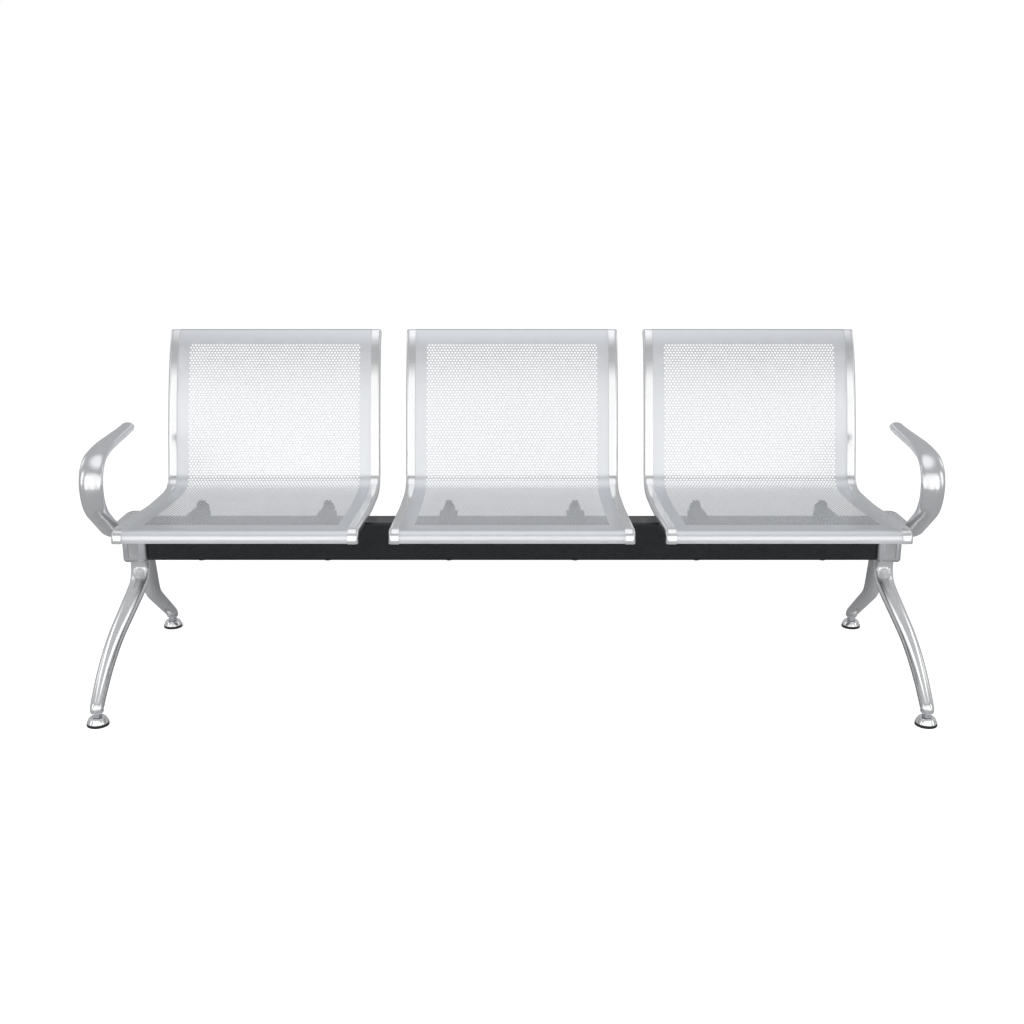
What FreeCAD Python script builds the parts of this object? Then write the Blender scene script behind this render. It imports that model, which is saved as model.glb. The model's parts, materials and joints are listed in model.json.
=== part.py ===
import FreeCAD, Part
import math
import os

os.makedirs("parts", exist_ok=True)

V = FreeCAD.Vector
ACROSS = V(1, 0, 0)
UP = V(0, 0, 1)

# A row of perforated steel seats on one box beam, with a cast leg set and an open armrest
# at each end. Lengths are in millimetres. X runs along the beam, the seats face -Y and Z is up.

# Layout of the bench
SEATS = ("left", "centre", "right")
SEAT_WIDTH = 517.0
SEAT_GAP = 63.0
ARM_GAP = 6.5

# Box beam
BEAM_DEPTH = 70.0
BEAM_HEIGHT = 90.0
BEAM_WALL = 2.5
BEAM_CORNER = 5.0
BEAM_BOTTOM = 254.5
END_PLATE_THICKNESS = 8.0
WELD_GAP = 0.2

# Cast block between the beam, the legs and the armrest: it reaches further out than in
BLOCK_INNER = 25.0
BLOCK_OUTER = 30.0
BLOCK_PROUD = 10.0
BLOCK_RISE = 6.0
BLOCK_DROP = 3.0
BLOCK_WALL = 8.0
BLOCK_OUTER_WALL = 14.0
BLOCK_EDGE = 8.0
BLOCK_LOWER_CORNER = 9.0
BOSS_RADIUS = 11.0
RECESS_WIDTH = 25.0
RECESS_INSET = 13.0
RECESS_MARGIN = 9.0
RECESS_DEPTH = 2.5
RECESS_CORNER = 3.0

# Side line of a seat, from the bottom of the front lip to the top of the back
LIP_REACH = 297.0
LIP_ABOVE_BEAM = 27.5
LIP_DROP = 6.0
LIP_RADIUS = 20.0
SEAT_FALL = 3.8
SEAT_LENGTH = 220.0
DIP_RADIUS = 900.0
SEAT_REAR = 78.0
RISE_RADIUS = 250.0
RISE_TURN = 10.0
BEND_RADIUS = 45.0
BACK_LEAN = 12.5
BACK_LOWER = (2500.0, 3.9)
BACK_MIDDLE = (900.0, 8.0)
BACK_UPPER = (220.0, 14.3)
CURL_RADIUS = 12.0
CURL_TURN = 80.0
SHEET_THICKNESS = 1.5

# Side rails of a seat
RAIL_WIDTH = 22.0
RAIL_PROUD = 5.0
RAIL_DEPTH = 20.0
RAIL_ROUND = 8.0
RAIL_WALL = 3.4
CAP_DOME = 7.0
CAP_ROUND = 5.0
CAP_PLATE = 2.5

# Bars and saddles that carry a seat on the beam
BAR_SPACING = 296.0
BAR_RADIUS = 13.0
BAR_WALL = 2.5
BAR_SETBACK = 26.0
BAR_REAR = 62.0
BAR_TILT = 2.4
LUG_WIDTH = 14.0
LUG_LENGTH = 30.0
LUG_INSET = 36.0
SADDLE_SIDE = 7.0
SADDLE_MARGIN = 3.0
SADDLE_FLOOR = 2.5
SADDLE_GRIP = 5.0
SADDLE_CHAMFER = 3.0

# Legs: the side line starts straight down from the block, and these bends follow.
# An oval's size is its width along X and its depth.
LEG_TOP_SIZE = (45.0, 34.0)
LEG_END_SIZE = (28.6, 27.0)
LEG_SPACE = 6.0
LEG_END_HEIGHT = 28.0
LEG_LEAD = 14.0
FRONT_LEG_HEADING = 270.0
FRONT_LEG_BENDS = ((48.0, -70.0), (800.0, -3.0), (111.0,), (475.0, 26.0), (20.0, 47.0))
REAR_LEG_HEADING = 289.0
REAR_LEG_BENDS = ((75.0, 36.0), (150.0,), (20.0, -55.0))

# Armrest: the side line runs forward along the block's top, then round the front to the tip
ARM_SIZE = (50.0, 23.5)
ARM_TIP_SIZE = (31.0, 22.0)
ARM_TAPER = 260.0
ARM_SEAT = 6.8
ARM_INSET = 49.0
ARM_MOVES = ((140.0,), (85.0, -36.0), (86.0,), (79.0, -61.0), (60.0, -70.0), (435.0, -10.5),
             (94.0,), (900.0, 4.0))

# Levelling feet, from the floor up
PAD_RADIUS = 23.0
PAD_HEIGHT = 6.0
PAD_EDGE = 1.0
PAD_PLUG = 2.0
CUP_RADIUS = 22.2
CUP_TOP_RADIUS = 16.4
CUP_RIM = 1.2
CUP_HEIGHT = 12.0
CUP_SHELL = 2.0
CUP_BEVEL = 1.6
STUD_RADIUS = 4.0
STUD_DISC_RADIUS = 9.0
STUD_DISC_THICKNESS = 3.0
STUD_ENGAGEMENT = 20.0
COLLAR_CORNER = 10.4
COLLAR_HEIGHT = 7.5
SOCKET_RADIUS = 14.0
SOCKET_FACE = 13.0
SOCKET_BEVEL = 4.0
SOCKET_NECK_RADIUS = 6.5
SOCKET_NECK = 8.0
STOP_GAP = 0.3
SWIVEL_GAP = 0.3
THREAD_GAP = 0.05

# Screws: thread radius, head radius and head height; a hexagon's radius is to its corners
CAP_SCREW = (5.0, 8.0, 9.0)
FLAT_SCREW = (5.0, 9.0, 5.0)
ARM_SCREW = (4.0, 6.5, 8.0)
HEX_BOLT = (5.0, 9.2, 6.4)
NUT = (9.2, 8.0)
WASHER = (10.0, 2.0)
HOLE_GAP = 0.5
HEAD_SUNK = 1.0
SCREW_SPREAD = 44.0
ARM_SCREW_INSETS = (8.0, 25.5)
THREAD_BITE = 20.0

# Smallest length that two points of a side line can lie apart, and how near a place is the same
TINY = 1e-6
NEAR = 0.1

SIDES = ((-1, "left"), (1, "right"))
SEAT_PITCH = SEAT_WIDTH + SEAT_GAP
END_X = (len(SEATS) - 1) * SEAT_PITCH / 2 + SEAT_WIDTH / 2 + ARM_GAP + ARM_SIZE[0] / 2
BEAM_TOP = BEAM_BOTTOM + BEAM_HEIGHT
BEAM_MIDDLE = BEAM_BOTTOM + BEAM_HEIGHT / 2
BEAM_HALF = END_X - BLOCK_INNER
BLOCK_BACK = BEAM_DEPTH / 2 + BLOCK_PROUD
BLOCK_TOP = BEAM_TOP + BLOCK_RISE
BLOCK_BOTTOM = BEAM_BOTTOM - BLOCK_DROP
BAR_FRONT = BAR_SETBACK - LIP_REACH
BAR_LEAN = math.tan(math.radians(BAR_TILT))
BAR_AXIS = V(0, 1, -BAR_LEAN).normalize()
REAR_LEG_TOP = BLOCK_BACK - LEG_TOP_SIZE[1] / 2
FRONT_LEG_TOP = REAR_LEG_TOP - LEG_TOP_SIZE[1] - LEG_SPACE
CUP_TOP = PAD_HEIGHT + CUP_HEIGHT
COLLAR_BASE = CUP_TOP + SWIVEL_GAP
SOCKET_BASE = COLLAR_BASE + COLLAR_HEIGHT + STOP_GAP
SOCKET_TOP = SOCKET_BASE + SOCKET_FACE


class Route:
    """A run of straights and tangent arcs in the side plane, where Y runs back and Z up.

    A straight is (length,) and an arc is (radius, degrees), which turns left when positive.
    An offset lies to the left of the run: above a seat, in front of its back.
    """

    def __init__(self, start, heading, moves):
        self.spans = []
        point = start
        angle = math.radians(heading)
        reach = 0.0
        for move in moves:
            turn = math.radians(move[1]) if len(move) == 2 else 0.0
            length = move[0] * abs(turn) if turn else move[0]
            self.spans.append((reach, length, point, angle, turn))
            point = self._along(point, angle, turn, length, 1.0)[0]
            angle += turn
            reach += length
        self.length = reach

    @staticmethod
    def _along(point, angle, turn, length, share):
        part = turn * share
        chord = length * share
        if turn:
            chord *= math.sin(part / 2) / (part / 2)
        aim = angle + part / 2
        here = (point[0] + chord * math.cos(aim), point[1] + chord * math.sin(aim))
        return here, angle + part

    def at(self, reach):
        """Place and heading at a distance along the run."""
        for start, length, point, angle, turn in self.spans:
            if reach <= start + length + TINY:
                return self._along(point, angle, turn, length, (reach - start) / length)
        return self._along(point, angle, turn, length, 1.0)

    def place(self, reach, offset=0.0, x=0.0):
        (y, z), angle = self.at(reach)
        return V(x, y - offset * math.sin(angle), z + offset * math.cos(angle))

    def edges(self, offset, x, first=0.0, last=None):
        """The run as lines and arcs at an offset, between two distances along it."""
        last = self.length if last is None else last
        made = []
        for start, length, _, _, turn in self.spans:
            a = max(first, start)
            b = min(last, start + length)
            if b - a < TINY:
                continue
            ends = [self.place(reach, offset, x) for reach in (a, (a + b) / 2, b)]
            if turn:
                made.append(Part.Arc(*ends).toShape())
            else:
                made.append(Part.makeLine(ends[0], ends[2]))
        return made


def strip(route, upper, lower, x, width, first=0.0, last=None):
    """Solid between two offsets of a route, as wide as asked along X."""
    last = route.length if last is None else last
    edges = route.edges(upper, x, first, last) + route.edges(lower, x, first, last)
    for reach in (first, last):
        edges.append(Part.makeLine(route.place(reach, upper, x), route.place(reach, lower, x)))
    outline = Part.Wire(Part.__sortEdges__(edges))
    return Part.Face(outline).extrude(V(width, 0, 0))


def square_to(route, reach, x):
    """Placement whose Z axis runs along a route and whose X axis stays level."""
    (y, z), angle = route.at(reach)
    along = V(0, math.cos(angle), math.sin(angle))
    turn = FreeCAD.Rotation(ACROSS, along.cross(ACROSS), along, "ZXY")
    return FreeCAD.Placement(V(x, y, z), turn)


def horn(route, first, last, first_size, last_size, x):
    """Solid along a stretch of a route, from one oval of (width, depth) to another."""
    sweep = Part.BRepOffsetAPI.MakePipeShell(Part.Wire(route.edges(0.0, x, first, last)))
    for reach, (width, depth) in ((first, first_size), (last, last_size)):
        long_end, short_end = V(width / 2, 0, 0), V(0, depth / 2, 0)
        if depth > width:
            long_end, short_end = short_end, -long_end
        section = Part.Wire([Part.Ellipse(long_end, short_end, V(0, 0, 0)).toShape()])
        section.Placement = square_to(route, reach, x)
        sweep.add(section)
    sweep.build()
    sweep.makeSolid()
    return sweep.shape()


def rounded_end(route, reach, size, x):
    """Half of a flattened ball that closes an oval section, bulging on along the route."""
    width, depth = size
    ball = Part.makeSphere(1.0, V(0, 0, 0), UP, 0, 90, 360)
    stretch = FreeCAD.Matrix()
    stretch.scale(width / 2, depth / 2, depth / 2)
    ball = ball.transformGeometry(stretch)
    ball.Placement = square_to(route, reach, x)
    return ball


def box(x0, x1, y0, y1, z0, z1):
    return Part.makeBox(x1 - x0, y1 - y0, z1 - z0, V(x0, y0, z0))


def rod(radius, base, length, direction=UP):
    return Part.makeCylinder(radius, length, base, direction)


def hexagon(corner_radius, base, height):
    corners = [base + V(corner_radius * math.cos(math.radians(60 * i)),
                        corner_radius * math.sin(math.radians(60 * i)), 0) for i in range(7)]
    return Part.Face(Part.makePolygon(corners)).extrude(V(0, 0, height))


def long_edges(shape, direction):
    """Straight edges that run along one direction."""
    found = []
    for edge in shape.Edges:
        if edge.Curve.TypeId == "Part::GeomLine":
            if abs(abs(edge.Curve.Direction.dot(direction)) - 1) < TINY:
                found.append(edge)
    return found


def mirrored(shape):
    return shape.mirror(V(0, 0, 0), ACROSS)


def group(shapes):
    return Part.makeCompound(shapes)


SEAT_LINE = Route((-LIP_REACH, BEAM_TOP + LIP_ABOVE_BEAM), 90.0, (
    (LIP_DROP,),
    (LIP_RADIUS, -90.0 - SEAT_FALL),
    (SEAT_LENGTH,),
    (DIP_RADIUS, SEAT_FALL),
    (SEAT_REAR,),
    (RISE_RADIUS, RISE_TURN),
    (BEND_RADIUS, 90.0 - BACK_LEAN - RISE_TURN),
    (BACK_LOWER[0], -BACK_LOWER[1]),
    (BACK_MIDDLE[0], -BACK_MIDDLE[1]),
    (BACK_UPPER[0], -BACK_UPPER[1]),
    (CURL_RADIUS, -CURL_TURN)))
RAIL_END = SEAT_LINE.length - CURL_RADIUS * math.radians(CURL_TURN)


def seat_panel(x):
    """Bent sheet with a rolled front lip and a curled top edge, between the two rails."""
    half = SEAT_WIDTH / 2 - RAIL_WIDTH
    return strip(SEAT_LINE, 0.0, -SHEET_THICKNESS, x - half, 2 * half)


def side_rail(x, side):
    """Hollow rail that follows the seat line; its outer edges are rounded."""
    inner = x + side * (SEAT_WIDTH / 2 - RAIL_WIDTH)
    under = RAIL_PROUD - RAIL_DEPTH
    body = strip(SEAT_LINE, RAIL_PROUD, under, inner, side * RAIL_WIDTH, 0.0, RAIL_END)
    outer = inner + side * RAIL_WIDTH
    ends = [SEAT_LINE.place(reach, (RAIL_PROUD + under) / 2, outer) for reach in (0.0, RAIL_END)]
    rounded = []
    for edge in body.Edges:
        middle = edge.valueAt((edge.FirstParameter + edge.LastParameter) / 2)
        at_end = min((middle - end).Length for end in ends) < NEAR
        on_side = max(abs(edge.BoundBox.XMin - outer), abs(edge.BoundBox.XMax - outer)) < NEAR
        if on_side and not at_end:
            rounded.append(edge)
    body = body.makeFillet(RAIL_ROUND, rounded)
    bore = strip(SEAT_LINE, RAIL_PROUD - RAIL_WALL, under + RAIL_WALL, inner + side * RAIL_WALL,
                 side * (RAIL_WIDTH - 2 * RAIL_WALL), 0.0, RAIL_END)
    return body.cut(bore)


def rail_caps(x):
    """A domed cap on the top end of each rail and a flat plate on its front end."""
    under = RAIL_PROUD - RAIL_DEPTH
    caps = []
    for side in (-1, 1):
        inner = x + side * (SEAT_WIDTH / 2 - RAIL_WIDTH)
        front, back = (SEAT_LINE.place(RAIL_END, offset, inner) for offset in (RAIL_PROUD, under))
        angle = SEAT_LINE.at(RAIL_END)[1]
        crown = (front + back) / 2 + V(0, math.cos(angle), math.sin(angle)) * CAP_DOME
        outline = Part.Wire([Part.Arc(front, crown, back).toShape(), Part.makeLine(back, front)])
        dome = Part.Face(outline).extrude(V(side * RAIL_WIDTH, 0, 0))
        outer = [edge for edge in dome.Edges if edge.Curve.TypeId == "Part::GeomCircle"
                 and abs(edge.BoundBox.XMin - inner) > RAIL_WIDTH / 2]
        caps.append(dome.makeFillet(CAP_ROUND, outer))
        wall = RAIL_WALL + WELD_GAP
        caps.append(strip(SEAT_LINE, RAIL_PROUD - wall, under + wall, inner + side * wall,
                          side * (RAIL_WIDTH - 2 * wall), 0.0, CAP_PLATE))
    return group(caps)


def bar_height(y):
    """Height of a bar's axis: its lowest point over the beam stays on the saddle floor."""
    at_edge = BEAM_TOP + SADDLE_FLOOR + BAR_RADIUS / math.cos(math.radians(BAR_TILT))
    return at_edge + (BEAM_DEPTH / 2 - y) * BAR_LEAN


def capsule(x, radius, front, rear, domed):
    """Round bar along the tilted axis, with or without ball ends."""
    start = V(x, front, bar_height(front))
    length = (rear - front) / BAR_AXIS.y
    bar = rod(radius, start, length, BAR_AXIS)
    if domed:
        for end in (start, start + BAR_AXIS * length):
            bar = bar.fuse(Part.makeSphere(radius, end))
    return bar


def under_seat(x, width):
    """Room between the beam's top and the panel's underside."""
    edges = SEAT_LINE.edges(-SHEET_THICKNESS, x, 0.0, RAIL_END)
    first = SEAT_LINE.place(0.0, -SHEET_THICKNESS, x)
    last = SEAT_LINE.place(RAIL_END, -SHEET_THICKNESS, x)
    corners = [last, V(x, last.y, BEAM_TOP), V(x, first.y, BEAM_TOP), first]
    outline = Part.Wire(Part.__sortEdges__(edges + Part.makePolygon(corners).Edges))
    return Part.Face(outline).extrude(V(width, 0, 0))


def support_bar(x):
    """Tube with ball ends under the seat, with two lugs up to the panel and a bolt hole."""
    bar = capsule(x, BAR_RADIUS, BAR_FRONT + BAR_RADIUS, BAR_REAR - BAR_RADIUS, True)
    trim = under_seat(x - LUG_WIDTH / 2, LUG_WIDTH)
    for y in (BAR_FRONT + LUG_INSET, BAR_REAR - LUG_INSET):
        lug = box(x - LUG_WIDTH / 2, x + LUG_WIDTH / 2, y - LUG_LENGTH / 2, y + LUG_LENGTH / 2,
                  bar_height(y), bar_height(y) + 3 * BAR_RADIUS)
        bar = bar.fuse(lug.common(trim))
    bar = bar.removeSplitter()
    bore = BAR_RADIUS - BAR_WALL
    bar = bar.cut(capsule(x, bore, BAR_FRONT + BAR_RADIUS, BAR_REAR - BAR_RADIUS, False))
    return bar.cut(rod(HEX_BOLT[0] + HOLE_GAP, V(x, 0, BEAM_TOP), bar_height(0.0) - BEAM_TOP))


def saddle(x):
    """Cradle on the beam's top, hollowed to the bar that lies in it."""
    half_width = BAR_RADIUS + SADDLE_SIDE
    half_length = BEAM_DEPTH / 2 - SADDLE_MARGIN
    block = box(x - half_width, x + half_width, -half_length, half_length,
                BEAM_TOP, bar_height(-half_length) - SADDLE_GRIP)
    block = block.makeChamfer(SADDLE_CHAMFER, long_edges(block, UP))
    block = block.cut(capsule(x, BAR_RADIUS, BAR_FRONT, BAR_REAR, False))
    return block.cut(rod(HEX_BOLT[0] + HOLE_GAP, V(x, 0, BEAM_TOP), BAR_RADIUS))


def nut_seat():
    """Height at which a weld nut's corners rest on the inside of a bar."""
    bore = BAR_RADIUS - BAR_WALL
    return bar_height(0.0) - math.sqrt(bore ** 2 - NUT[0] ** 2) + NUT[0] * BAR_LEAN


def seat_bolt(x):
    base = BEAM_BOTTOM - WASHER[1]
    shank = rod(HEX_BOLT[0], V(x, 0, base), nut_seat() + NUT[1] - base)
    return shank.fuse(hexagon(HEX_BOLT[1], V(x, 0, base - HEX_BOLT[2]), HEX_BOLT[2]))


def seat_washer(x):
    ring = rod(WASHER[0], V(x, 0, BEAM_BOTTOM - WASHER[1]), WASHER[1])
    return ring.cut(rod(HEX_BOLT[0] + HOLE_GAP, V(x, 0, BEAM_BOTTOM - WASHER[1]), WASHER[1]))


def bar_nut(x):
    nut = hexagon(NUT[0], V(x, 0, nut_seat()), NUT[1])
    return nut.cut(rod(HEX_BOLT[0] + THREAD_GAP, V(x, 0, nut_seat()), NUT[1]))


def seat_centres():
    first = -(len(SEATS) - 1) / 2
    return {name: (first + i) * SEAT_PITCH for i, name in enumerate(SEATS)}


def bar_places():
    return [x + side * BAR_SPACING / 2 for x in seat_centres().values() for side in (-1, 1)]


def beam():
    """Rectangular tube with a bolt hole through both walls under each bar."""
    def tube(inset):
        body = box(-BEAM_HALF, BEAM_HALF, inset - BEAM_DEPTH / 2, BEAM_DEPTH / 2 - inset,
                   BEAM_BOTTOM + inset, BEAM_TOP - inset)
        return body.makeFillet(BEAM_CORNER - inset, long_edges(body, ACROSS))
    body = tube(0.0).cut(tube(BEAM_WALL))
    holes = [rod(HEX_BOLT[0] + HOLE_GAP, V(x, 0, BEAM_BOTTOM), BEAM_HEIGHT) for x in bar_places()]
    return body.cut(group(holes))


def screw_heights():
    return [BEAM_MIDDLE + side * SCREW_SPREAD / 2 for side in (-1, 1)]


def beam_end_plate():
    """Plate welded into the right end of the beam, tapped for the block's screws."""
    inset = BEAM_WALL + WELD_GAP
    plate = box(BEAM_HALF - END_PLATE_THICKNESS, BEAM_HALF, inset - BEAM_DEPTH / 2,
                BEAM_DEPTH / 2 - inset, BEAM_BOTTOM + inset, BEAM_TOP - inset)
    plate = plate.makeFillet(BEAM_CORNER - BEAM_WALL, long_edges(plate, ACROSS))
    for z in screw_heights():
        plate = plate.cut(rod(CAP_SCREW[0] + THREAD_GAP, V(BEAM_HALF - END_PLATE_THICKNESS, 0, z),
                              END_PLATE_THICKNESS, ACROSS))
    return plate


def end_block():
    """Right block: a cast box open towards the beam, with a recessed front and back."""
    x0 = BEAM_HALF
    x1 = END_X + BLOCK_OUTER
    width = BLOCK_INNER + BLOCK_OUTER
    block = box(x0, x1, -BLOCK_BACK, BLOCK_BACK, BLOCK_BOTTOM, BLOCK_TOP)
    lower = [edge for edge in long_edges(block, ACROSS) if edge.BoundBox.ZMax < BEAM_MIDDLE]
    block = block.makeFillet(BLOCK_LOWER_CORNER, lower)
    block = block.makeFillet(BLOCK_EDGE, long_edges(block, UP))
    cavity = box(x0, x1 - BLOCK_OUTER_WALL, BLOCK_WALL - BLOCK_BACK,
                 BLOCK_BACK - BLOCK_WALL, BLOCK_BOTTOM + BLOCK_WALL, BLOCK_TOP - BLOCK_WALL)
    cavity = cavity.makeFillet(RECESS_CORNER, long_edges(cavity, ACROSS))
    for z in screw_heights():
        cavity = cavity.cut(rod(BOSS_RADIUS, V(x0, 0, z), width, ACROSS))
    block = block.cut(cavity)
    for y0 in (-BLOCK_BACK, BLOCK_BACK - RECESS_DEPTH):
        recess = box(x1 - RECESS_INSET - RECESS_WIDTH, x1 - RECESS_INSET, y0, y0 + RECESS_DEPTH,
                     BLOCK_BOTTOM + RECESS_MARGIN, BLOCK_TOP - RECESS_MARGIN)
        block = block.cut(recess.makeFillet(RECESS_CORNER, long_edges(recess, V(0, 1, 0))))
    for z in screw_heights():
        block = block.cut(rod(CAP_SCREW[0] + HOLE_GAP, V(x0, 0, z), width, ACROSS))
        depth = CAP_SCREW[2] + HEAD_SUNK
        block = block.cut(rod(CAP_SCREW[1] + HOLE_GAP, V(x1 - depth, 0, z), depth, ACROSS))
    for y in (FRONT_LEG_TOP, REAR_LEG_TOP):
        block = block.cut(leg_screw(y, HOLE_GAP))
    for y in arm_screw_places():
        block = block.cut(rod(ARM_SCREW[0] + THREAD_GAP, V(END_X, y, BLOCK_TOP - BLOCK_WALL),
                              BLOCK_WALL))
    return block


def block_screw(z):
    """Cap screw from the block's outer side into the beam's end plate."""
    seat = END_X + BLOCK_OUTER - CAP_SCREW[2] - HEAD_SUNK
    tip = BEAM_HALF - END_PLATE_THICKNESS
    screw = rod(CAP_SCREW[0], V(tip, 0, z), seat - tip, ACROSS)
    return screw.fuse(rod(CAP_SCREW[1], V(seat, 0, z), CAP_SCREW[2], ACROSS))


def leg_screw(y, gap):
    """Countersunk screw from inside the block down into the top of a leg."""
    radius, head, height = FLAT_SCREW
    top = BLOCK_BOTTOM + BLOCK_WALL
    shank = rod(radius + gap, V(END_X, y, BLOCK_BOTTOM - THREAD_BITE), BLOCK_WALL + THREAD_BITE)
    cone = Part.makeCone(radius + gap, head + gap, height, V(END_X, y, top - height))
    return shank.fuse(cone)


def leg_line(top, heading, bends):
    """Side line of a leg: its first straight takes up the height that the bends leave.

    The line starts inside the block, by the lead, so that the leg can be cut level there.
    """
    rest = Route((0.0, 0.0), heading, bends)
    fall = BLOCK_BOTTOM - LEG_END_HEIGHT + rest.place(rest.length).z
    aim = math.radians(heading)
    straight = LEG_LEAD - fall / math.sin(aim)
    start = (top - LEG_LEAD * math.cos(aim), BLOCK_BOTTOM - LEG_LEAD * math.sin(aim))
    return Route(start, heading, ((straight,),) + bends)


LEG_LINES = {
    "front": leg_line(FRONT_LEG_TOP, FRONT_LEG_HEADING, FRONT_LEG_BENDS),
    "rear": leg_line(REAR_LEG_TOP, REAR_LEG_HEADING, REAR_LEG_BENDS)}
LEG_TOPS = {"front": FRONT_LEG_TOP, "rear": REAR_LEG_TOP}


def foot_place(end):
    line = LEG_LINES[end]
    return line.place(line.length, 0.0, END_X).y


def leg(end):
    """Right leg: tapering oval sections, cut level at the block and at the foot socket."""
    line = LEG_LINES[end]
    body = horn(line, 0.0, line.length, LEG_TOP_SIZE, LEG_END_SIZE, END_X)
    bounds = body.BoundBox
    body = body.common(box(bounds.XMin, bounds.XMax, bounds.YMin, bounds.YMax,
                           SOCKET_TOP, BLOCK_BOTTOM))
    body = body.cut(rod(SOCKET_NECK_RADIUS, V(END_X, foot_place(end), SOCKET_TOP), SOCKET_NECK))
    bite = V(END_X, LEG_TOPS[end], BLOCK_BOTTOM - THREAD_BITE)
    return body.cut(rod(FLAT_SCREW[0] + THREAD_GAP, bite, THREAD_BITE))


def arm_screw_places():
    return [inset - BLOCK_BACK for inset in ARM_SCREW_INSETS]


def armrest():
    """Right armrest: an open hook of oval section whose tongue lies on the block."""
    forward = Route((BLOCK_BACK - ARM_INSET, BLOCK_TOP + ARM_SEAT), 180.0, ARM_MOVES)
    first = ARM_SIZE[1] / 2
    last = forward.length - ARM_TIP_SIZE[1] / 2
    taper = last - ARM_TAPER
    heel = Route(forward.at(first)[0], 0.0, ((first,),))
    body = horn(forward, first, taper, ARM_SIZE, ARM_SIZE, END_X)
    body = body.fuse([horn(forward, taper, last, ARM_SIZE, ARM_TIP_SIZE, END_X),
                      rounded_end(heel, 0.0, ARM_SIZE, END_X),
                      rounded_end(forward, last, ARM_TIP_SIZE, END_X)])
    body = body.cut(box(END_X - ARM_SIZE[0], END_X + ARM_SIZE[0], -BLOCK_BACK, BLOCK_BACK,
                        BLOCK_BOTTOM, BLOCK_TOP))
    for y in arm_screw_places():
        body = body.cut(arm_screw(y, HOLE_GAP))
    return body


def arm_screw(y, gap):
    """Cap screw down through the armrest's tongue; with a gap, the hole for it."""
    crown = BLOCK_TOP + ARM_SEAT + ARM_SIZE[1] / 2
    seat = crown - ARM_SCREW[2] - HEAD_SUNK
    tip = BLOCK_TOP - BLOCK_WALL if gap == 0 else BLOCK_TOP
    shank = rod(ARM_SCREW[0] + gap, V(END_X, y, tip), seat - tip)
    head = ARM_SCREW[2] + (HEAD_SUNK if gap else 0)
    return shank.fuse(rod(ARM_SCREW[1] + gap, V(END_X, y, seat), head))


def turned(points, y):
    """Solid of revolution on the vertical axis of a foot; points are (radius, height)."""
    corners = [V(radius, 0, height) for radius, height in points]
    profile = Part.Face(Part.makePolygon(corners + corners[:1]))
    solid = profile.revolve(V(0, 0, 0), UP, 360)
    solid.translate(V(END_X, y, 0))
    return solid


def leg_socket(y):
    """Bevelled insert in a leg's end, with a neck up into the leg and a blind thread."""
    thread = STUD_RADIUS + THREAD_GAP
    return turned((
        (thread, SOCKET_BASE),
        (SOCKET_RADIUS - SOCKET_BEVEL, SOCKET_BASE),
        (SOCKET_RADIUS, SOCKET_BASE + SOCKET_BEVEL),
        (SOCKET_RADIUS, SOCKET_TOP),
        (SOCKET_NECK_RADIUS, SOCKET_TOP),
        (SOCKET_NECK_RADIUS, SOCKET_TOP + SOCKET_NECK),
        (thread, SOCKET_TOP + SOCKET_NECK)), y)


def foot_stud(y):
    """Threaded stud with a hexagon collar and a disc held inside the cup."""
    disc_top = CUP_TOP - CUP_SHELL - SWIVEL_GAP
    stud = rod(STUD_RADIUS, V(END_X, y, disc_top), SOCKET_BASE + STUD_ENGAGEMENT - disc_top)
    disc = rod(STUD_DISC_RADIUS, V(END_X, y, disc_top - STUD_DISC_THICKNESS), STUD_DISC_THICKNESS)
    collar = hexagon(COLLAR_CORNER, V(END_X, y, COLLAR_BASE), COLLAR_HEIGHT)
    return stud.fuse([disc, collar])


def foot_cup(y):
    """Bevelled sheet-metal cup, open below, with a hole in which the stud swivels."""
    base = PAD_HEIGHT
    shoulder = CUP_TOP_RADIUS + CUP_BEVEL
    return turned((
        (STUD_RADIUS + THREAD_GAP, CUP_TOP),
        (CUP_TOP_RADIUS, CUP_TOP),
        (shoulder, CUP_TOP - CUP_BEVEL),
        (CUP_RADIUS, base + CUP_RIM),
        (CUP_RADIUS, base),
        (CUP_RADIUS - CUP_SHELL, base),
        (shoulder - CUP_SHELL, CUP_TOP - CUP_BEVEL - CUP_SHELL / 2),
        (CUP_TOP_RADIUS - CUP_SHELL / 2, CUP_TOP - CUP_SHELL),
        (STUD_RADIUS + THREAD_GAP, CUP_TOP - CUP_SHELL)), y)


def foot_pad(y):
    """Rubber disc under the cup, with a low plug inside its rim."""
    plug = CUP_RADIUS - 2 * CUP_SHELL
    return turned((
        (0, 0),
        (PAD_RADIUS - PAD_EDGE, 0),
        (PAD_RADIUS, PAD_EDGE),
        (PAD_RADIUS, PAD_HEIGHT - PAD_EDGE),
        (PAD_RADIUS - PAD_EDGE, PAD_HEIGHT),
        (plug, PAD_HEIGHT),
        (plug, PAD_HEIGHT + PAD_PLUG),
        (0, PAD_HEIGHT + PAD_PLUG)), y)


def both(shape):
    return group([mirrored(shape), shape])


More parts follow.
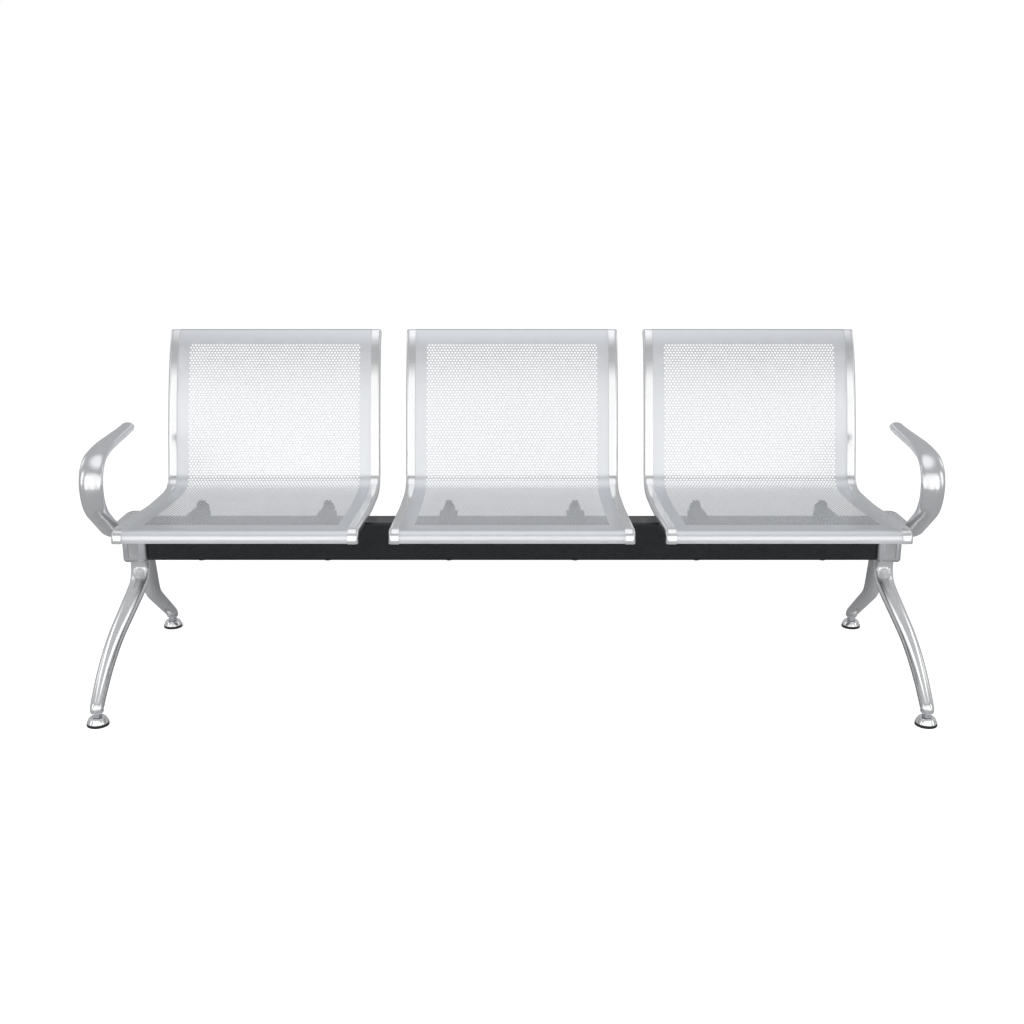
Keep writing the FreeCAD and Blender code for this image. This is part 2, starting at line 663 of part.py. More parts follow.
def build():
    """Every piece by its node's name."""
    nodes = {"beam": beam()}
    for seat, x in seat_centres().items():
        nodes["seat_panel_" + seat] = seat_panel(x)
        nodes["rail_caps_" + seat] = rail_caps(x)
        for side, hand in SIDES:
            bar_x = x + side * BAR_SPACING / 2
            nodes["side_rail_" + hand + "_" + seat] = side_rail(x, side)
            nodes["support_bar_" + hand + "_" + seat] = support_bar(bar_x)
            nodes["saddle_" + hand + "_" + seat] = saddle(bar_x)
    nodes["seat_bolts"] = group([seat_bolt(x) for x in bar_places()])
    nodes["seat_washers"] = group([seat_washer(x) for x in bar_places()])
    nodes["bar_nuts"] = group([bar_nut(x) for x in bar_places()])

    nodes["block_screws"] = both(group([block_screw(z) for z in screw_heights()]))
    nodes["leg_screws"] = both(group([leg_screw(y, 0) for y in LEG_TOPS.values()]))
    nodes["arm_screws"] = both(group([arm_screw(y, 0) for y in arm_screw_places()]))
    right = {"beam_end_plate": beam_end_plate(), "end_block": end_block(), "armrest": armrest()}
    for end in LEG_LINES:
        y = foot_place(end)
        right[end + "_leg"] = leg(end)
        right[end + "_leg_socket"] = leg_socket(y)
        right[end + "_foot_stud"] = foot_stud(y)
        right[end + "_foot_cup"] = foot_cup(y)
        right[end + "_foot_pad"] = foot_pad(y)
    for name, shape in right.items():
        nodes[name + "_left"] = mirrored(shape)
        nodes[name + "_right"] = shape
    return nodes


# The origin is on the floor, under the middle of the whole bench.
NODES = build()
whole = FreeCAD.BoundBox()
for shape in NODES.values():
    whole.add(shape.BoundBox)
to_origin = V(0, -whole.Center.y, 0)
for name, shape in NODES.items():
    shape.translate(to_origin)
    shape.exportStep("parts/" + name + ".step")
print("Bench", round(whole.XLength, 1), "x", round(whole.YLength, 1), "x", round(whole.ZLength, 1),
      "mm, beam centre at y", round(to_origin.y, 3))
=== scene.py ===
import json
import math

import bpy
from mathutils import Euler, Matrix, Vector


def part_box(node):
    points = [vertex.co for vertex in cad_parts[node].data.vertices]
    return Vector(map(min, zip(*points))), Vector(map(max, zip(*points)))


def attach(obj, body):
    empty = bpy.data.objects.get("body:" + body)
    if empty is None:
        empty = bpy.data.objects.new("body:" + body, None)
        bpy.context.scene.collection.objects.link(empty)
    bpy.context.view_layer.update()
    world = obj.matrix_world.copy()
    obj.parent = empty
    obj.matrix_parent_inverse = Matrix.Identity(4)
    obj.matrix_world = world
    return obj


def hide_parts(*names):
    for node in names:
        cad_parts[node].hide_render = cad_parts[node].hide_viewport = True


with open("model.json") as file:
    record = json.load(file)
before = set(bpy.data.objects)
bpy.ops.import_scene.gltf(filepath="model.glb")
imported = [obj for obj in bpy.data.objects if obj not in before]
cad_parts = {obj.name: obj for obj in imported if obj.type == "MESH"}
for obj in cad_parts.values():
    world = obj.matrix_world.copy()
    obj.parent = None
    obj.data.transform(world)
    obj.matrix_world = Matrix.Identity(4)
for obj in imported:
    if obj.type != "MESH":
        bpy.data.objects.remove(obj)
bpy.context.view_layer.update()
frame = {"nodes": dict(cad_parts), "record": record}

# The looks of a row of perforated steel seats on a black beam. Lengths are in metres.

MILLIMETRE = 0.001
SMOOTH_ANGLE = math.radians(38)

# Camera of the photograph
LENS = 43.45
SENSOR_WIDTH = 36.0
CAMERA_HEIGHT = 1.0989
CAMERA_DISTANCE = 2.778
CAMERA_PITCH = 14.86

# Side line of a seat, from lip to top: a step is a length, or a radius and a turn in degrees
LIP_REACH = 0.297
LIP_ABOVE_BEAM = 0.0275
SEAT_LINE = (
    (0.006,), (0.020, -93.8), (0.220,), (0.900, 3.8), (0.078,), (0.250, 10.0), (0.045, 67.5),
    (2.500, -3.9), (0.900, -8.0), (0.220, -14.3), (0.012, -80.0))

# Perforated sheet
SHEET_THICKNESS = 0.0003
HOLE_PITCH = 0.0075
ROW_PITCH = HOLE_PITCH * math.sqrt(3) / 2
HOLE_RADIUS = 0.0024
HOLE_SIDES = 8
HOLES_ACROSS = 56
FIRST_ROW = 0.085
ROWS = 112
SEAM_ROW = 46
FRONT_STEPS = 24
BACK_STEPS = 20

# Threaded stud of a foot
THREAD_PITCH = 1.25 * MILLIMETRE
THREAD_ROOT = 3.35 * MILLIMETRE
THREAD_CREST = 3.97 * MILLIMETRE
THREAD_BOTTOM = 25.0 * MILLIMETRE
THREAD_TOP = 46.0 * MILLIMETRE
THREAD_SIDES = 28
COLLAR_CORNER = 10.35 * MILLIMETRE
COLLAR_BOTTOM = 18.3 * MILLIMETRE
COLLAR_HEIGHT = 7.5 * MILLIMETRE

# Screws: shank radius, head radius, head height and the key socket's corner radius
BLOCK_SCREW = (0.005, 0.008, 0.009, 0.0046)
ARM_SCREW = (0.004, 0.0065, 0.008, 0.0035)
SEAT_BOLT_CORNER = 0.0092
SEAT_BOLT_SHANK = 0.005
WASHER_HOLE = 0.0053
WASHER_RADIUS = 0.01

# Finish of the cast blocks: the broken edge, and how deep the recessed faces lie
CAST_EDGE = 0.0008
RECESS_DEPTHS = (0.0018, 0.0035)

# Floor, and soft light from all round with its change along each axis
FLOOR_COLOR = (0.82, 0.82, 0.82, 1)
FLOOR_GLOW = 0.72
SOFT_LIGHT = 0.60
SOFT_LIGHT_SLOPE = (0.0, -0.30, -0.28)

# Tent that polished surfaces show: its tone at each angle above the horizon, in degrees
TENT_RADIUS = 7.0
FRONT_TONES = ((-90, 0.36), (-25, 0.34), (-8, 0.37), (40, 0.38), (52, 0.38), (60, 0.62), (68, 1.05),
               (90, 1.0))
BACK_TONES = ((-90, 0.36), (-10, 0.34), (4, 0.43), (50, 0.45), (60, 0.44), (69, 0.75), (79, 1.0),
              (90, 1.0))

# Cards that polished surfaces show: name, centre, point faced, size, glow and softness
MIDDLE_CARDS = (
    ("floor_card", (0, 0, 0.0004), (0, 0, 1), (16, 16), (0.36, 0.365, 0.375), 0.05),
    ("floor_shade", (0, 0.15, 0.0008), (0, 0.15, 1), (2.3, 1.3), (0.15, 0.152, 0.157), 0.5),
    ("front_wall", (0, -4.2, 1.75), (0, 0, 1.75), (9.0, 4.9), (1.05, 1.05, 1.05), 0.35))

# The same for the right side, which the left side mirrors
SIDE_CARDS = (
    ("arm_strip", (1.15, -3.1, 0.8), (0.87, -0.15, 0.5), (1.3, 2.4), (1.6, 1.6, 1.6), 0.8),
    ("leg_strip", (2.7, -3.0, 1.0), (0.87, -0.15, 0.4), (0.9, 3.4), (2.4, 2.4, 2.4), 0.7),
    ("side_softbox", (4.6, -2.0, 1.6), (0.9, 0, 0.6), (1.4, 3.6), (1.8, 1.8, 1.8), 0.6),
    ("leg_shade", (0.9, -0.2, 0.247), (0.9, -0.2, 0), (0.42, 0.5), (0.46, 0.465, 0.475), 0.3),
    ("leg_streak", (0.80, -0.2, 0.243), (0.80, -0.2, 0), (0.08, 0.5), (1.8, 1.8, 1.8), 0.7),
    ("leg_streak", (0.965, -0.2, 0.243), (0.965, -0.2, 0), (0.08, 0.5), (1.8, 1.8, 1.8), 0.7),
    ("rear_softbox", (4.4, 1.2, 2.5), (0.9, 0, 0.2), (2.2, 2.4), (1.05, 1.05, 1.05), 0.5))


def middle(node):
    low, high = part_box(node)
    return (low + high) / 2


def clear_selection():
    bpy.ops.object.select_all(action="DESELECT")


def take(*pieces):
    """Selects only these pieces and makes the first one active."""
    clear_selection()
    for piece in pieces:
        piece.select_set(True)
    bpy.context.view_layer.objects.active = pieces[0]


def pick(piece, kind, wanted):
    """Selects the vertices, edges or faces that a test accepts, then goes into edit mode."""
    modes = {"vertices": "VERT", "edges": "EDGE", "polygons": "FACE"}
    take(piece)
    bpy.ops.object.mode_set(mode="EDIT")
    bpy.ops.mesh.select_mode(type=modes[kind])
    bpy.ops.mesh.select_all(action="DESELECT")
    bpy.ops.object.mode_set(mode="OBJECT")
    for item in getattr(piece.data, kind):
        item.select = wanted(item)
    bpy.ops.object.mode_set(mode="EDIT")


def done():
    bpy.ops.object.mode_set(mode="OBJECT")


def rename(piece, name):
    piece.name = name
    piece.data.name = name
    return piece


def named(name):
    return rename(bpy.context.active_object, name)


def settle(piece):
    """Puts a piece's place into its mesh."""
    take(piece)
    bpy.ops.object.transform_apply(location=True, rotation=True, scale=True)


def apply_modifier(piece, kind, **settings):
    take(piece)
    modifier = piece.modifiers.new(kind.title(), kind)
    for name, value in settings.items():
        setattr(modifier, name, value)
    bpy.ops.object.modifier_apply(modifier=modifier.name)


def copy_at(piece, name, shift):
    """A copy with its own mesh, moved by a distance."""
    twin = piece.copy()
    twin.data = piece.data.copy()
    bpy.context.scene.collection.objects.link(twin)
    rename(twin, name)
    twin.location = shift
    settle(twin)
    return twin


def merge(piece, distance=1e-5):
    take(piece)
    bpy.ops.object.mode_set(mode="EDIT")
    bpy.ops.mesh.select_all(action="SELECT")
    bpy.ops.mesh.remove_doubles(threshold=distance)
    done()


def outward(piece):
    """Closes tiny gaps and turns every face outwards."""
    merge(piece, 1e-7)
    bpy.ops.object.mode_set(mode="EDIT")
    bpy.ops.mesh.select_all(action="SELECT")
    bpy.ops.mesh.normals_make_consistent(inside=False)
    done()


def soften(piece, width, angle, segments=3):
    """Rounds the edges sharper than an angle and smooths the shading between them."""
    apply_modifier(piece, "BEVEL", width=width, segments=segments, limit_method="ANGLE",
                   angle_limit=math.radians(angle), harden_normals=False)
    bpy.ops.object.shade_smooth_by_angle(angle=SMOOTH_ANGLE)


def combine(piece, tool, way):
    """Cuts a tool from a piece, or keeps what both share, and takes the tool away."""
    apply_modifier(piece, "BOOLEAN", object=tool, operation=way, solver="EXACT")
    bpy.data.objects.remove(tool)


# Finishes

def finish(name, color, metallic, roughness, mottle=0.03, spread=0.05, scale=40.0,
           bump=0.0, bump_scale=900.0, stretch=(1.0, 1.0, 1.0)):
    """Surface with a faint mottling of colour and gloss, and a fine relief."""
    material = bpy.data.materials.new(name)
    material.use_nodes = True
    nodes, links = material.node_tree.nodes, material.node_tree.links
    shader = nodes["Principled BSDF"]
    shader.inputs["Metallic"].default_value = metallic
    place = nodes.new("ShaderNodeTexCoord")
    mapping = nodes.new("ShaderNodeMapping")
    mapping.inputs["Scale"].default_value = stretch
    links.new(place.outputs["Object"], mapping.inputs["Vector"])
    cloud = nodes.new("ShaderNodeTexNoise")
    cloud.inputs["Scale"].default_value = scale
    cloud.inputs["Detail"].default_value = 5.0
    links.new(mapping.outputs["Vector"], cloud.inputs["Vector"])
    tone = nodes.new("ShaderNodeValToRGB")
    tone.color_ramp.elements[0].position = 0.3
    tone.color_ramp.elements[1].position = 0.7
    tone.color_ramp.elements[0].color = [c * (1 - mottle) for c in color] + [1]
    tone.color_ramp.elements[1].color = [min(1, c * (1 + mottle)) for c in color] + [1]
    links.new(cloud.outputs["Fac"], tone.inputs["Fac"])
    links.new(tone.outputs["Color"], shader.inputs["Base Color"])
    gloss = nodes.new("ShaderNodeMapRange")
    gloss.inputs["From Min"].default_value = 0.3
    gloss.inputs["From Max"].default_value = 0.7
    gloss.inputs["To Min"].default_value = max(0.0, roughness - spread)
    gloss.inputs["To Max"].default_value = roughness + spread
    links.new(cloud.outputs["Fac"], gloss.inputs["Value"])
    links.new(gloss.outputs["Result"], shader.inputs["Roughness"])
    if bump:
        grain = nodes.new("ShaderNodeTexNoise")
        grain.inputs["Scale"].default_value = bump_scale
        grain.inputs["Detail"].default_value = 3.0
        links.new(mapping.outputs["Vector"], grain.inputs["Vector"])
        relief = nodes.new("ShaderNodeBump")
        relief.inputs["Strength"].default_value = bump
        relief.inputs["Distance"].default_value = 0.0002
        links.new(grain.outputs["Fac"], relief.inputs["Height"])
        links.new(relief.outputs["Normal"], shader.inputs["Normal"])
    return material


def silver_coat():
    return finish("silver_powder_coat", (0.735, 0.75, 0.775), 0.65, 0.32, mottle=0.015,
                  spread=0.03, bump=0.12, bump_scale=1100.0)


def bright_chrome():
    return finish("bright_chrome", (0.92, 0.925, 0.93), 0.85, 0.12, mottle=0.01, spread=0.03,
                  scale=25.0, bump=0.02, bump_scale=300.0)


def polished_casting():
    return finish("polished_casting", (0.93, 0.935, 0.94), 0.85, 0.16, mottle=0.02, spread=0.03,
                  scale=30.0, bump=0.03, bump_scale=500.0)


def satin_casting():
    return finish("satin_casting", (0.86, 0.865, 0.875), 0.92, 0.22, mottle=0.02, spread=0.04,
                  scale=30.0, bump=0.08, bump_scale=600.0)


def block_casting():
    return finish("block_casting", (0.62, 0.63, 0.65), 0.9, 0.38, mottle=0.03, spread=0.05,
                  scale=60.0, bump=0.15, bump_scale=700.0)


def black_powder_coat():
    return finish("black_powder_coat", (0.012, 0.013, 0.017), 0.0, 0.28, mottle=0.08,
                  spread=0.05, bump=0.25, bump_scale=1300.0)


# The beam's black powder coat made darker for the support bars: painted shade where they lie close
# under the seat sheet
def bars_painted_shade_coat():
    return finish("bars_black_coat_painted_shade", (0.004, 0.0042, 0.005), 0.0, 0.6, mottle=0.08, spread=0.05,
                  bump=0.25, bump_scale=1300.0)


def black_rubber():
    return finish("black_rubber", (0.018, 0.018, 0.019), 0.0, 0.72, mottle=0.15, spread=0.08,
                  scale=120.0, bump=0.35, bump_scale=800.0)


def zinc_plate():
    return finish("zinc_plate", (0.66, 0.68, 0.71), 1.0, 0.30, mottle=0.05, spread=0.08,
                  scale=150.0, bump=0.1, bump_scale=900.0)


# Darker finish for the recessed faces of the end blocks
def darker_recess():
    return finish("darker_recess", (0.52, 0.525, 0.535), 0.75, 0.5, mottle=0.06, spread=0.06,
                  scale=90.0, bump=0.35, bump_scale=600.0)


def dark_zinc():
    return finish("dark_zinc", (0.16, 0.165, 0.175), 0.9, 0.38, mottle=0.08, spread=0.08,
                  scale=200.0, bump=0.1, bump_scale=900.0)


def mill_steel():
    return finish("mill_steel", (0.34, 0.34, 0.35), 1.0, 0.45, mottle=0.10, spread=0.1,
                  scale=80.0, bump=0.2, bump_scale=500.0)


FINISHES = {
    "seat_sheet": silver_coat(),
    "rail_chrome": bright_chrome(),
    "beam_coat": black_powder_coat(),
    "black_coat": bars_painted_shade_coat(),
    "plate_steel": mill_steel(),
    "block_cast": block_casting(),
    "arm_cast": satin_casting(),
    "leg_cast": polished_casting(),
    "pad_rubber": black_rubber(),
    "block_recess": darker_recess(),
    "fastener_zinc": zinc_plate(),
    "fastener_dark": dark_zinc()}
FINISHES["foot_chrome"] = FINISHES["rail_chrome"]


def paint(piece, slot):
    piece.data.materials.clear()
    piece.data.materials.append(FINISHES[slot])


def paint_cad_nodes():
    for part in frame["record"]["subparts"]:
        for slot in frame["nodes"][part["node"]].material_slots:
            slot.material = FINISHES[part["material_slot"]]


# Seat sheet

def seat_guide():
    """Curve along the seat's side line, in the plane X = 0."""
    beam_low, beam_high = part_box("beam")
    y = (beam_low.y + beam_high.y) / 2 - LIP_REACH
    z = beam_high.z + LIP_ABOVE_BEAM
    heading = math.radians(90)
    knots = [(Vector((0, y, z)), heading, 0.0)]
    for move in SEAT_LINE:
        turn = math.radians(move[1]) if len(move) == 2 else 0.0
        length = move[0] * abs(turn) if turn else move[0]
        chord = length * math.sin(turn / 2) / (turn / 2) if turn else length
        aim = heading + turn / 2
        y += chord * math.cos(aim)
        z += chord * math.sin(aim)
        heading += turn
        arm = 4 / 3 * math.tan(abs(turn) / 4) * move[0] if turn else length / 3
        knots.append((Vector((0, y, z)), heading, arm))
    data = bpy.data.curves.new("seat_guide", "CURVE")
    data.dimensions = "3D"
    data.resolution_u = 64
    spline = data.splines.new("BEZIER")
    spline.bezier_points.add(len(knots) - 1)
    for i, (place, angle, arm) in enumerate(knots):
        along = Vector((0, math.cos(angle), math.sin(angle)))
        after = knots[i + 1][2] if i + 1 < len(knots) else arm
        point = spline.bezier_points[i]
        point.handle_left_type = "FREE"
        point.handle_right_type = "FREE"
        point.co = place
        point.handle_left = place - along * (arm or after)
        point.handle_right = place + along * after
    guide = bpy.data.objects.new("seat_guide", data)
    bpy.context.scene.collection.objects.link(guide)
    return guide, sum(
        m[0] * math.radians(abs(m[1])) if len(m) == 2 else m[0] for m in SEAT_LINE)


def hole_tile():
    """One brick of the flat sheet, a hole's pitch wide, with an eight-sided hole."""
    bpy.ops.mesh.primitive_plane_add(size=1, location=(ROW_PITCH / 2, HOLE_PITCH / 2, 0))
    tile = named("hole_tile")
    tile.scale = (ROW_PITCH, HOLE_PITCH, 1)
    settle(tile)
    pick(tile, "edges", lambda edge: abs(tile.data.vertices[edge.vertices[0]].co.x
                                         - tile.data.vertices[edge.vertices[1]].co.x) < 1e-6)
    bpy.ops.mesh.subdivide(number_cuts=1)
    done()
    pick(tile, "edges", lambda edge: all(
        abs(tile.data.vertices[v].co.y - HOLE_PITCH / 2) < 1e-6 for v in edge.vertices))
    bpy.ops.mesh.delete(type="EDGE")
    bpy.ops.mesh.primitive_circle_add(vertices=HOLE_SIDES, radius=HOLE_RADIUS, fill_type="NOTHING",
                                      location=(ROW_PITCH / 2, HOLE_PITCH / 2, 0),
                                      rotation=(0, 0, math.pi / HOLE_SIDES))
    bpy.ops.mesh.select_all(action="SELECT")
    bpy.ops.mesh.bridge_edge_loops()
    bpy.ops.mesh.select_all(action="SELECT")
    bpy.ops.mesh.normals_make_consistent(inside=False)
    done()
    return tile


def half_brick(y):
    """Blank half of a brick, which ends each second row."""
    bpy.ops.mesh.primitive_plane_add(size=1, location=(ROW_PITCH / 2, y, 0))
    brick = named("half_brick")
    brick.scale = (ROW_PITCH, HOLE_PITCH / 2, 1)
    settle(brick)
    return brick


def two_rows():
    """A row of holes and the staggered row after it, in one flat strip."""
    first = hole_tile()
    second = copy_at(first, "second_row", (ROW_PITCH, HOLE_PITCH / 2, 0))
    for row, count in ((first, HOLES_ACROSS), (second, HOLES_ACROSS - 1)):
        apply_modifier(row, "ARRAY", count=count, use_relative_offset=False,
                       use_constant_offset=True, constant_offset_displace=(0, HOLE_PITCH, 0),
                       use_merge_vertices=True, merge_threshold=1e-5)
    ends = [half_brick(HOLE_PITCH / 4), half_brick(HOLE_PITCH * (HOLES_ACROSS - 0.25))]
    for end in ends:
        end.location = (ROW_PITCH, 0, 0)
        settle(end)
    take(first, second, *ends)
    bpy.ops.object.join()
    merge(first)
    return first


def stretch_border(piece, axis, at, to, steps=1):
    """Extrudes the border that lies at a place on an axis, in even steps, to another place."""
    for i in range(steps):
        here = at + (to - at) * i / steps
        pick(piece, "edges", lambda edge: all(
            abs(piece.data.vertices[v].co[axis] - here) < 1e-5 for v in edge.vertices))
        move = [0.0, 0.0, 0.0]
        move[axis] = (to - at) / steps
        bpy.ops.mesh.extrude_region_move(TRANSFORM_OT_translate={"value": move})
        done()


def perforated_sheet(name, guide, first_row, rows, front, back):
    """Flat sheet with staggered holes and plain margins, bent along the guide."""
    low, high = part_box("seat_panel_centre")
    sheet = two_rows()
    apply_modifier(sheet, "ARRAY", count=rows // 2, use_relative_offset=False,
                   use_constant_offset=True, constant_offset_displace=(2 * ROW_PITCH, 0, 0),
                   use_merge_vertices=True, merge_threshold=1e-5)
    holes_width = HOLES_ACROSS * HOLE_PITCH
    start = FIRST_ROW + (first_row - 0.5) * ROW_PITCH
    sheet.location = (start, -holes_width / 2, 0)
    settle(sheet)
    half = (high.x - low.x) / 2
    stretch_border(sheet, 1, -holes_width / 2, -half)
    stretch_border(sheet, 1, holes_width / 2, half)
    end = start + rows * ROW_PITCH
    if front is not None:
        stretch_border(sheet, 0, start, front, FRONT_STEPS)
    if back is not None:
        stretch_border(sheet, 0, end, back, BACK_STEPS)
    rename(sheet, name)
    take(sheet)
    bend = sheet.modifiers.new("Bend", "CURVE")
    bend.object = guide
    bend.deform_axis = "POS_X"
    bpy.ops.object.modifier_apply(modifier=bend.name)
    apply_modifier(sheet, "SOLIDIFY", thickness=SHEET_THICKNESS, offset=-1.0)
    return sheet


def seat_sheets():
    guide, length = seat_guide()
    front = perforated_sheet("seat_sheet_front", guide, 0, SEAM_ROW, 0.0, None)
    back = perforated_sheet("seat_sheet_back", guide, SEAM_ROW, ROWS - SEAM_ROW, None, length)
    for sheet in (front, back):
        take(sheet)
        bpy.ops.object.shade_smooth_by_angle(angle=math.radians(35))
        for seat in ("left", "centre", "right"):
            node = "seat_panel_" + seat
            twin = copy_at(sheet, sheet.name + "_" + seat, (middle(node).x, 0, 0))
            paint(twin, "seat_sheet")
            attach(twin, "bench")
            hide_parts(node)
        bpy.data.objects.remove(sheet)
    bpy.data.objects.remove(guide)


# Feet

def ring(sides, radius, place):
    """A circle, open in edit mode with its rim selected."""
    clear_selection()
    bpy.ops.mesh.primitive_circle_add(vertices=sides, radius=radius, location=place,
                                      fill_type="NOTHING")
    bpy.ops.object.mode_set(mode="EDIT")
    bpy.ops.mesh.select_mode(type="EDGE")
    bpy.ops.mesh.select_all(action="SELECT")


def draw_out(place, steps):
    """Draws the selected rim out, ring by ring; steps are (radius, height)."""
    radius, height = steps[0]
    for wider, higher in steps[1:]:
        rise = {"value": (0, 0, higher - height)}
        bpy.ops.mesh.extrude_region_move(TRANSFORM_OT_translate=rise)
        share = wider / radius
        bpy.ops.transform.resize(value=(share, share, 1),
                                 center_override=(place[0], place[1], higher))
        radius, height = wider, higher


def on_rim(piece, place, radius, height):
    """Test for the edges of the rim with a radius and a height."""
    def test(edge):
        ends = [piece.data.vertices[v].co for v in edge.vertices]
        return all(abs(end.z - height) < 1e-6
                   and abs(math.hypot(end.x - place[0], end.y - place[1]) - radius) < 1e-5
                   for end in ends)
    return test


def turned(name, place, steps, hollow=False, sides=64):
    """Round piece on a vertical axis; steps are (radius, height), from the bottom outwards.

    A hollow piece is closed by joining its first and last rims, a full one by capping both.
    """
    ring(sides, steps[0][0], (place[0], place[1], steps[0][1]))
    draw_out(place, steps)
    done()
    piece = named(name)
    settle(piece)
    rims = [on_rim(piece, place, *step) for step in (steps[0], steps[-1])]
    if hollow:
        pick(piece, "edges", lambda edge: any(test(edge) for test in rims))
        bpy.ops.mesh.bridge_edge_loops()
        done()
    else:
        for test in rims:
            pick(piece, "edges", test)
            bpy.ops.mesh.edge_face_add()
            done()
    outward(piece)
    return piece


def prism(name, corner, place, height):
    """Six-sided bar standing on a place."""
    clear_selection()
    bpy.ops.mesh.primitive_cylinder_add(
        vertices=6, radius=corner, depth=height, rotation=(0, 0, math.radians(30)),
        location=(place[0], place[1], place[2] + height / 2))
    piece = named(name)
    settle(piece)
    return piece


def hexagon_head(name, corner, place, height):
    """Hexagon whose corners are turned off to a chamfer above and below."""
    head = prism(name, corner, place, height)
    flat = corner * math.cos(math.radians(30))
    slope = (corner - flat * 0.97) * 0.55
    z = place[2]
    combine(head, turned("chamfer", place, (
        (flat * 0.97, z), (corner * 1.02, z + slope), (corner * 1.02, z + height - slope),
        (flat * 0.97, z + height))), "INTERSECT")
    return head


def in_millimetres(*steps):
    return [(radius * MILLIMETRE, height * MILLIMETRE) for radius, height in steps]


def foot_cup(place):
    """Bevelled sheet cup with a hole for the stud and a rolled lower rim."""
    cup = turned("foot_cup", place, in_millimetres(
        (20.3, 6.0), (22.2, 6.0), (22.2, 7.2), (18.3, 16.0), (17.6, 16.9), (16.9, 17.7), (15.9, 18.0),
        (14.6, 17.8), (4.3, 17.8), (4.3, 16.1), (15.2, 16.1), (16.2, 15.2)), hollow=True)
    soften(cup, 0.0004, 20.0)
    return cup


def foot_pad(place):
    """Rubber disc with a rounded rim and a plug that fills the cup's mouth."""
    pad = turned("foot_pad", place, in_millimetres(
        (21.4, 0.0), (22.4, 0.25), (23.0, 1.1), (23.0, 4.9), (22.5, 5.8), (21.6, 6.0), (18.2, 6.0),
        (18.2, 8.0)))
    soften(pad, 0.0003, 25.0, 2)
    return pad


def leg_socket(place):
    """Insert in the leg's end: a rounded bowl with a neck and the thread's bore."""
    socket = turned("leg_socket", place, in_millimetres(
        (4.05, 26.6), (4.6, 26.1), (9.6, 26.1), (10.6, 26.5), (13.3, 29.3), (13.9, 30.6), (14.0, 32.0),
        (14.0, 39.1), (6.5, 39.1), (6.5, 47.1), (4.05, 47.1)), hollow=True)
    soften(socket, 0.00025, 30.0, 2)
    return socket


def stud_thread(place):
    """A pointed strip, wound up as the stud's thread."""
    clear_selection()
    bpy.ops.mesh.primitive_plane_add(size=THREAD_PITCH, rotation=(math.pi / 2, 0, 0),
                                     location=(THREAD_ROOT + THREAD_PITCH / 2, 0, THREAD_PITCH / 2))
    thread = named("stud_thread")
    settle(thread)
    pick(thread, "vertices", lambda vertex: vertex.co.x > THREAD_ROOT + THREAD_PITCH / 2)
    bpy.ops.mesh.delete(type="VERT")
    bpy.ops.mesh.select_all(action="SELECT")
    bpy.ops.mesh.subdivide(number_cuts=3)
    done()
    pick(thread, "vertices", lambda vertex: abs(vertex.co.z - THREAD_PITCH / 2) < THREAD_PITCH * 0.1)
    bpy.ops.transform.translate(value=(THREAD_CREST - THREAD_ROOT, 0, 0))
    done()
    apply_modifier(thread, "SCREW", angle=2 * math.pi, screw_offset=THREAD_PITCH, steps=THREAD_SIDES,
                   render_steps=THREAD_SIDES, use_merge_vertices=True,
                   iterations=int((THREAD_TOP - THREAD_BOTTOM) / THREAD_PITCH))
    thread.location = (place[0], place[1], THREAD_BOTTOM)
    settle(thread)
    return thread


def foot_stud(place):
    """Threaded stud with a chamfered hexagon and the disc that turns inside the cup."""
    thread = stud_thread(place)
    shank = turned("foot_stud", place, in_millimetres(
        (8.8, 12.7), (9.0, 12.9), (9.0, 15.5), (8.8, 15.7), (4.0, 15.7), (4.0, 18.4), (3.4, 18.4),
        (3.4, 45.9), (3.0, 46.1)))
    collar = hexagon_head("stud_collar", COLLAR_CORNER, (place[0], place[1], COLLAR_BOTTOM),
                          COLLAR_HEIGHT)
    soften(collar, 0.0002, 30.0, 2)
    take(shank, thread, collar)
    bpy.ops.object.join()
    bpy.ops.object.shade_smooth_by_angle(angle=SMOOTH_ANGLE)
    return shank


def feet():
    """One foot is modelled and copied to the other three."""
    home = middle("front_foot_pad_left")
    first = {"foot_cup": (foot_cup(home), "foot_chrome"), "foot_pad": (foot_pad(home), "pad_rubber"),
             "leg_socket": (leg_socket(home), "foot_chrome"),
             "foot_stud": (foot_stud(home), "fastener_zinc")}
    for end in ("front", "rear"):
        for hand in ("left", "right"):
            corner = end + "_" + hand
            shift = middle(end + "_foot_pad_" + hand) - home
            bodies = {"foot_cup": "foot_base_" + corner, "foot_pad": "foot_base_" + corner,
                      "leg_socket": "bench", "foot_stud": "foot_screw_" + corner}
            for kind, (piece, slot) in first.items():
                twin = copy_at(piece, corner + "_" + kind + "_made", (shift.x, shift.y, 0))
                paint(twin, slot)
                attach(twin, bodies[kind])
                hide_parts(end + "_" + kind + "_" + hand)
    for piece, slot in first.values():
        bpy.data.objects.remove(piece)


# Screws and washers

def cap_screw(name, shank, head, height, length, key):
    """Cap screw that stands on its tip at the origin, with a six-sided socket in its head."""
    screw = turned(name, (0, 0, 0), (
        (shank * 0.86, 0.0), (shank, shank * 0.14), (shank, length), (head * 0.96, length),
        (head, length + head * 0.04), (head, length + height - head * 0.12),
        (head * 0.88, length + height)))
    depth = height * 0.55
    combine(screw, prism("key_socket", key, (0, 0, length + height - depth), depth * 1.2), "DIFFERENCE")
    soften(screw, 0.00025, 30.0, 2)
    return screw


def stand_at(piece, name, place, turn=(0.0, 0.0, 0.0)):
    """A copy with its own mesh, turned about the origin and then moved to a place."""
    twin = copy_at(piece, name, (0, 0, 0))
    twin.rotation_euler = [math.radians(angle) for angle in turn]
    settle(twin)
    twin.location = place
    settle(twin)
    return twin


def joined(name, node, slot, pieces):
    take(*pieces)
    bpy.ops.object.join()
    whole = rename(pieces[0], name)
    bpy.ops.object.shade_smooth_by_angle(angle=SMOOTH_ANGLE)
    paint(whole, slot)
    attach(whole, "bench")
    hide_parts(node)


